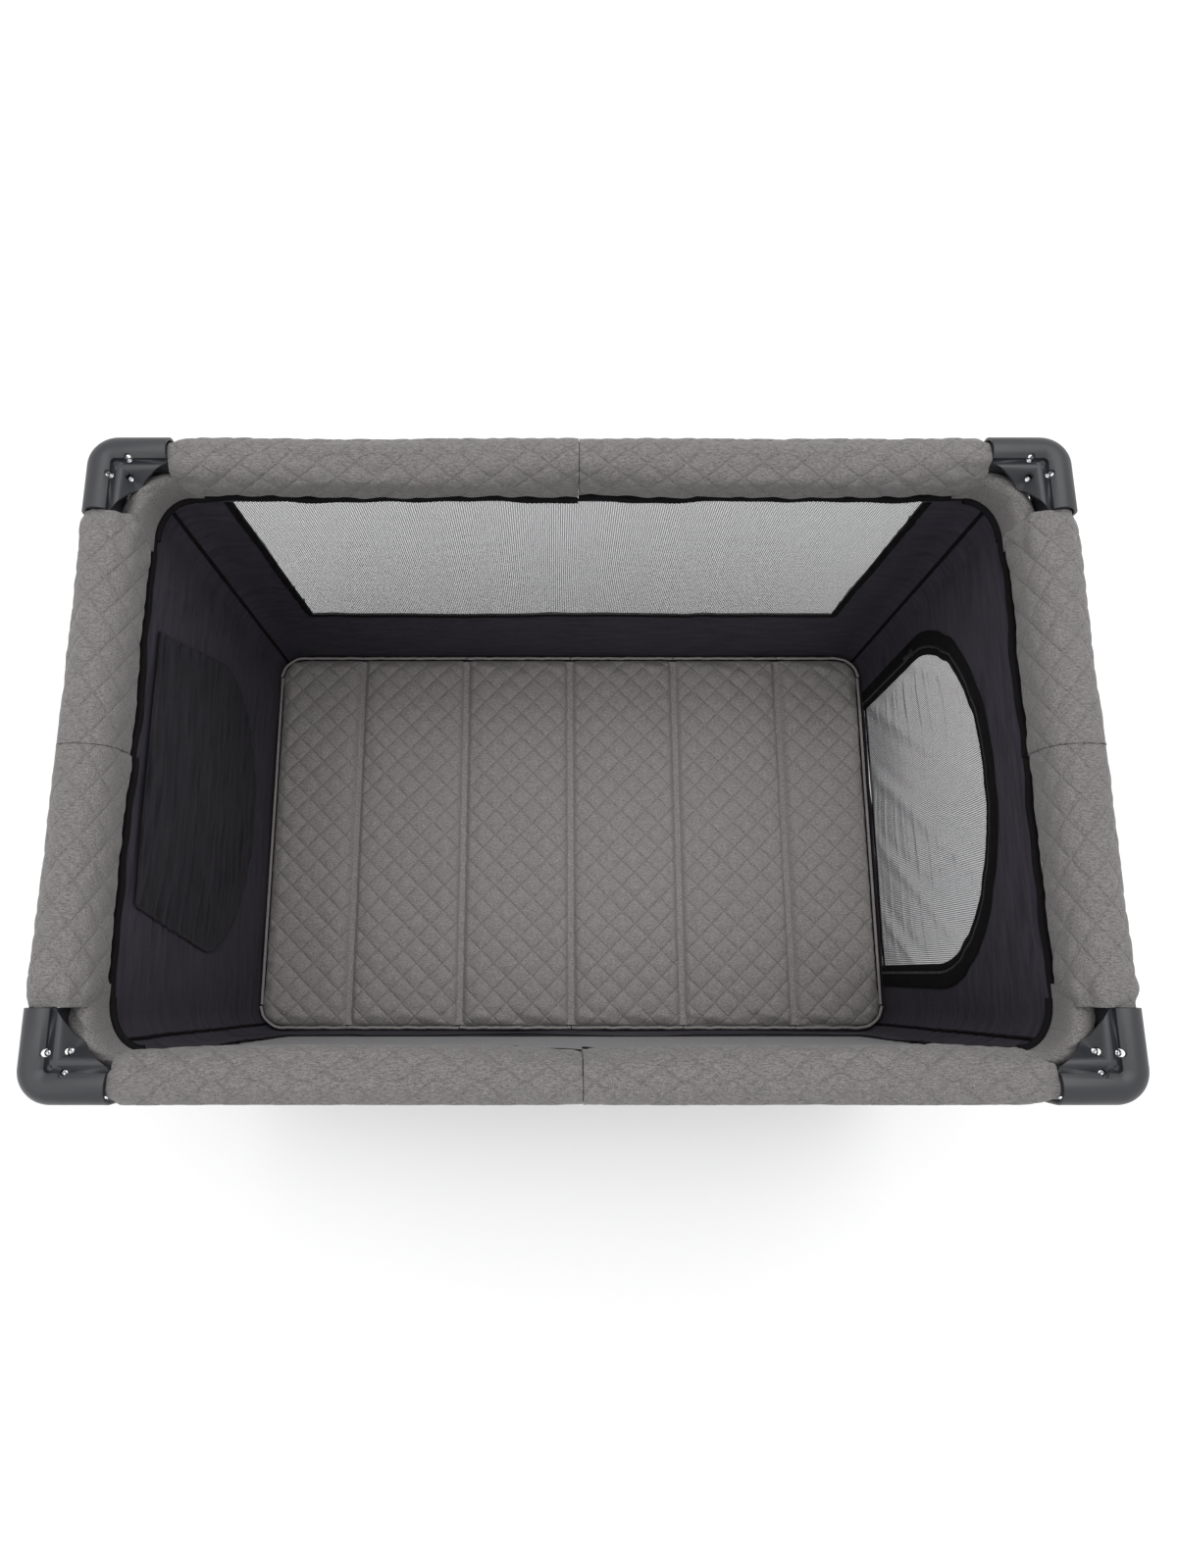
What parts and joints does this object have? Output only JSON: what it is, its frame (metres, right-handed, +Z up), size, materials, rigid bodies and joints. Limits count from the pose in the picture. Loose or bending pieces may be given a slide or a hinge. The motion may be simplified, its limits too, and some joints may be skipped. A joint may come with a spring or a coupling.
{
  "type": "folding playpen",
  "caption": "Rectangular folding playpen: padded top rails with centre locks, moulded corner caps, mesh and cloth walls, zipped side door, lifting floor hub and fold-up quilted mattress.",
  "frame": {"origin": "on the floor under the middle of the frame", "axes": "+X along the long side to the right, +Y from the near side to the far side, +Z up"},
  "size_m": [1.12, 0.725, 0.77],
  "materials": {
    "post_tube": "satin powder coat",
    "rail_tube": "satin powder coat",
    "charcoal_plastic": "moulded semi-gloss",
    "button_plastic": "moulded satin",
    "zinc_steel": "zinc plated",
    "heather_fabric": "heather grey padded cloth",
    "quilted_fabric": "heather grey quilted cloth",
    "mesh_fabric": "open knit mesh",
    "ripstop_fabric": "dark ripstop polyester"
  },
  "bodies": {
    "post_nl": {"leg_nl": "post_tube", "foot_nl": "charcoal_plastic", "cap_nl": "charcoal_plastic", "post_fasteners_nl": "zinc_steel", "wall_near": "ripstop_fabric", "mesh_near": "mesh_fabric", "wall_left": "ripstop_fabric"},
    "post_nr": {"leg_nr": "post_tube", "foot_nr": "charcoal_plastic", "cap_nr": "charcoal_plastic", "post_fasteners_nr": "zinc_steel", "wall_right": "ripstop_fabric"},
    "post_fl": {"leg_fl": "post_tube", "foot_fl": "charcoal_plastic", "cap_fl": "charcoal_plastic", "post_fasteners_fl": "zinc_steel", "wall_far": "ripstop_fabric", "mesh_far": "mesh_fabric"},
    "post_fr": {"leg_fr": "post_tube", "foot_fr": "charcoal_plastic", "cap_fr": "charcoal_plastic", "post_fasteners_fr": "zinc_steel"},
    "rail_near_l": {"rail_near_l": "rail_tube", "cover_near_l": "heather_fabric"},
    "rail_near_r": {"rail_near_r": "rail_tube", "cover_near_r": "heather_fabric"},
    "rail_far_l": {"rail_far_l": "rail_tube", "cover_far_l": "heather_fabric"},
    "rail_far_r": {"rail_far_r": "rail_tube", "cover_far_r": "heather_fabric"},
    "rail_left_n": {"rail_left_n": "rail_tube", "cover_left_n": "heather_fabric"},
    "rail_left_f": {"rail_left_f": "rail_tube", "cover_left_f": "heather_fabric"},
    "rail_right_n": {"rail_right_n": "rail_tube", "cover_right_n": "heather_fabric"},
    "rail_right_f": {"rail_right_f": "rail_tube", "cover_right_f": "heather_fabric"},
    "lock_near": {"lock_near": "charcoal_plastic"},
    "button_near": {"lock_button_near": "button_plastic"},
    "lock_far": {"lock_far": "charcoal_plastic"},
    "button_far": {"lock_button_far": "button_plastic"},
    "lock_left": {"lock_left": "charcoal_plastic"},
    "button_left": {"lock_button_left": "button_plastic"},
    "lock_right": {"lock_right": "charcoal_plastic"},
    "button_right": {"lock_button_right": "button_plastic"},
    "hub": {"hub": "charcoal_plastic", "floor_panel": "ripstop_fabric"},
    "base_tube_nl": {"base_tube_nl": "rail_tube"},
    "base_tube_nr": {"base_tube_nr": "rail_tube"},
    "base_tube_fl": {"base_tube_fl": "rail_tube"},
    "base_tube_fr": {"base_tube_fr": "rail_tube"},
    "door": {"door_panel": "mesh_fabric"},
    "zip_slider": {"zip_slider": "button_plastic"},
    "mattress_1": {"mattress_1": "quilted_fabric"},
    "mattress_2": {"mattress_2": "quilted_fabric"},
    "mattress_3": {"mattress_3": "quilted_fabric"},
    "mattress_4": {"mattress_4": "quilted_fabric"},
    "mattress_5": {"mattress_5": "quilted_fabric"},
    "mattress_6": {"mattress_6": "quilted_fabric"}
  },
  "joints": [
    {"name": "frame_fold", "type": "hinge", "parent": "post_nl", "child": "rail_near_l", "pos_m": [-0.49, -0.3435, 0.75], "axis": [0, 1, 0], "range_deg": [0, 82], "deforming": ["wall_near", "wall_far", "wall_left", "wall_right", "mesh_near", "mesh_far", "floor_panel", "door_panel", "cover_near_l", "cover_near_r", "cover_far_l", "cover_far_r", "cover_left_n", "cover_left_f", "cover_right_n", "cover_right_f", "mattress_1", "mattress_2", "mattress_3", "mattress_4", "mattress_5", "mattress_6"]},
    {"name": "lock_near_level", "type": "hinge", "parent": "rail_near_l", "child": "lock_near", "pos_m": [-0.03, -0.3435, 0.75], "axis": [0, -1, 0], "range_deg": [0, 83]},
    {"name": "rail_near_r_fold", "type": "hinge", "parent": "lock_near", "child": "rail_near_r", "pos_m": [0.03, -0.3435, 0.75], "axis": [0, -1, 0], "range_deg": [0, 83]},
    {"name": "post_nr_level", "type": "hinge", "parent": "rail_near_r", "child": "post_nr", "pos_m": [0.49, -0.3435, 0.75], "axis": [0, 1, 0], "range_deg": [0, 83]},
    {"name": "rail_left_n_fold", "type": "hinge", "parent": "post_nl", "child": "rail_left_n", "pos_m": [-0.541, -0.2925, 0.75], "axis": [-1, 0, 0], "range_deg": [0, 83]},
    {"name": "lock_left_level", "type": "hinge", "parent": "rail_left_n", "child": "lock_left", "pos_m": [-0.541, -0.03, 0.75], "axis": [1, 0, 0], "range_deg": [0, 83]},
    {"name": "rail_left_f_fold", "type": "hinge", "parent": "lock_left", "child": "rail_left_f", "pos_m": [-0.541, 0.03, 0.75], "axis": [1, 0, 0], "range_deg": [0, 83]},
    {"name": "post_fl_level", "type": "hinge", "parent": "rail_left_f", "child": "post_fl", "pos_m": [-0.541, 0.2925, 0.75], "axis": [-1, 0, 0], "range_deg": [0, 83]},
    {"name": "rail_right_n_fold", "type": "hinge", "parent": "post_nr", "child": "rail_right_n", "pos_m": [0.541, -0.2925, 0.75], "axis": [-1, 0, 0], "range_deg": [0, 83]},
    {"name": "lock_right_level", "type": "hinge", "parent": "rail_right_n", "child": "lock_right", "pos_m": [0.541, -0.03, 0.75], "axis": [1, 0, 0], "range_deg": [0, 83]},
    {"name": "rail_right_f_fold", "type": "hinge", "parent": "lock_right", "child": "rail_right_f", "pos_m": [0.541, 0.03, 0.75], "axis": [1, 0, 0], "range_deg": [0, 83]},
    {"name": "post_fr_level", "type": "hinge", "parent": "rail_right_f", "child": "post_fr", "pos_m": [0.541, 0.2925, 0.75], "axis": [-1, 0, 0], "range_deg": [0, 83]},
    {"name": "rail_far_l_fold", "type": "hinge", "parent": "post_fl", "child": "rail_far_l", "pos_m": [-0.49, 0.3435, 0.75], "axis": [0, 1, 0], "range_deg": [0, 83]},
    {"name": "lock_far_level", "type": "hinge", "parent": "rail_far_l", "child": "lock_far", "pos_m": [-0.03, 0.3435, 0.75], "axis": [0, -1, 0], "range_deg": [0, 83]},
    {"name": "rail_far_r_fold", "type": "hinge", "parent": "lock_far", "child": "rail_far_r", "pos_m": [0.03, 0.3435, 0.75], "axis": [0, -1, 0], "range_deg": [0, 83]},
    {"name": "base_tube_nl_fold", "type": "hinge", "parent": "post_nl", "child": "base_tube_nl", "pos_m": [-0.492, -0.2945, 0.022], "axis": [0.4956, -0.8685, 0], "range_deg": [0, 83]},
    {"name": "hub_level", "type": "hinge", "parent": "base_tube_nl", "child": "hub", "pos_m": [-0.032, -0.032, 0.022], "axis": [-0.4956, 0.8685, 0], "range_deg": [0, 83]},
    {"name": "base_tube_nr_fold", "type": "hinge", "parent": "hub", "child": "base_tube_nr", "pos_m": [0.032, -0.032, 0.022], "axis": [0.4956, 0.8685, 0], "range_deg": [0, 83]},
    {"name": "base_tube_fl_fold", "type": "hinge", "parent": "hub", "child": "base_tube_fl", "pos_m": [-0.032, 0.032, 0.022], "axis": [-0.4956, -0.8685, 0], "range_deg": [0, 83]},
    {"name": "base_tube_fr_fold", "type": "hinge", "parent": "hub", "child": "base_tube_fr", "pos_m": [0.032, 0.032, 0.022], "axis": [-0.4956, 0.8685, 0], "range_deg": [0, 83]},
    {"name": "button_near_press", "type": "slide", "parent": "lock_near", "child": "button_near", "axis": [0, 0, 1], "range_m": [0, 0.0042], "stiffness_N_per_m": 350, "springref_m": -0.003},
    {"name": "button_far_press", "type": "slide", "parent": "lock_far", "child": "button_far", "axis": [0, 0, 1], "range_m": [0, 0.0042], "stiffness_N_per_m": 350, "springref_m": -0.003},
    {"name": "button_left_press", "type": "slide", "parent": "lock_left", "child": "button_left", "axis": [0, 0, 1], "range_m": [0, 0.0042], "stiffness_N_per_m": 350, "springref_m": -0.003},
    {"name": "button_right_press", "type": "slide", "parent": "lock_right", "child": "button_right", "axis": [0, 0, 1], "range_m": [0, 0.0042], "stiffness_N_per_m": 350, "springref_m": -0.003},
    {"name": "mattress_lift", "type": "slide", "parent": "hub", "child": "mattress_3", "axis": [0, 0, 1], "range_m": [0, 0.4455]},
    {"name": "mattress_fold", "type": "hinge", "parent": "mattress_3", "child": "mattress_4", "pos_m": [0, 0, 0.068], "axis": [0, -1, 0], "range_deg": [0, 57]},
    {"name": "mattress_fold_2", "type": "hinge", "parent": "mattress_3", "child": "mattress_2", "pos_m": [-0.188, 0, 0.068], "axis": [0, 1, 0], "range_deg": [0, 58]},
    {"name": "mattress_fold_1", "type": "hinge", "parent": "mattress_2", "child": "mattress_1", "pos_m": [-0.376, 0, 0.068], "axis": [0, 1, 0], "range_deg": [0, 58]},
    {"name": "mattress_fold_5", "type": "hinge", "parent": "mattress_4", "child": "mattress_5", "pos_m": [0.188, 0, 0.068], "axis": [0, -1, 0], "range_deg": [0, 58]},
    {"name": "mattress_fold_6", "type": "hinge", "parent": "mattress_5", "child": "mattress_6", "pos_m": [0.376, 0, 0.068], "axis": [0, -1, 0], "range_deg": [0, 58]},
    {"name": "door_open", "type": "hinge", "parent": "post_nr", "child": "door", "pos_m": [0.52749, 0, 0.07196], "axis": [0, 1, 0], "range_deg": [0, 93]},
    {"name": "zip_run", "type": "hinge", "parent": "post_nr", "child": "zip_slider", "pos_m": [0.51405, 0, 0.35665], "axis": [-0.9989, 0, -0.0472], "range_deg": [0, 170]}
  ],
  "couplings": [
    {"joint": "lock_near_level", "follows": "frame_fold", "ratio": 1},
    {"joint": "rail_near_r_fold", "follows": "frame_fold", "ratio": 1},
    {"joint": "post_nr_level", "follows": "frame_fold", "ratio": 1},
    {"joint": "rail_left_n_fold", "follows": "frame_fold", "ratio": 1},
    {"joint": "lock_left_level", "follows": "frame_fold", "ratio": 1},
    {"joint": "rail_left_f_fold", "follows": "frame_fold", "ratio": 1},
    {"joint": "post_fl_level", "follows": "frame_fold", "ratio": 1},
    {"joint": "rail_right_n_fold", "follows": "frame_fold", "ratio": 1},
    {"joint": "lock_right_level", "follows": "frame_fold", "ratio": 1},
    {"joint": "rail_right_f_fold", "follows": "frame_fold", "ratio": 1},
    {"joint": "post_fr_level", "follows": "frame_fold", "ratio": 1},
    {"joint": "rail_far_l_fold", "follows": "frame_fold", "ratio": 1},
    {"joint": "lock_far_level", "follows": "frame_fold", "ratio": 1},
    {"joint": "rail_far_r_fold", "follows": "frame_fold", "ratio": 1},
    {"joint": "base_tube_nl_fold", "follows": "frame_fold", "ratio": 1},
    {"joint": "hub_level", "follows": "frame_fold", "ratio": 1},
    {"joint": "base_tube_nr_fold", "follows": "frame_fold", "ratio": 1},
    {"joint": "base_tube_fl_fold", "follows": "frame_fold", "ratio": 1},
    {"joint": "base_tube_fr_fold", "follows": "frame_fold", "ratio": 1},
    {"joint": "mattress_lift", "follows": "frame_fold", "m_per_rad": 0.29731},
    {"joint": "mattress_fold_2", "follows": "mattress_fold", "ratio": 1},
    {"joint": "mattress_fold_1", "follows": "mattress_fold", "ratio": 1},
    {"joint": "mattress_fold_5", "follows": "mattress_fold", "ratio": 1},
    {"joint": "mattress_fold_6", "follows": "mattress_fold", "ratio": 1}
  ]
}
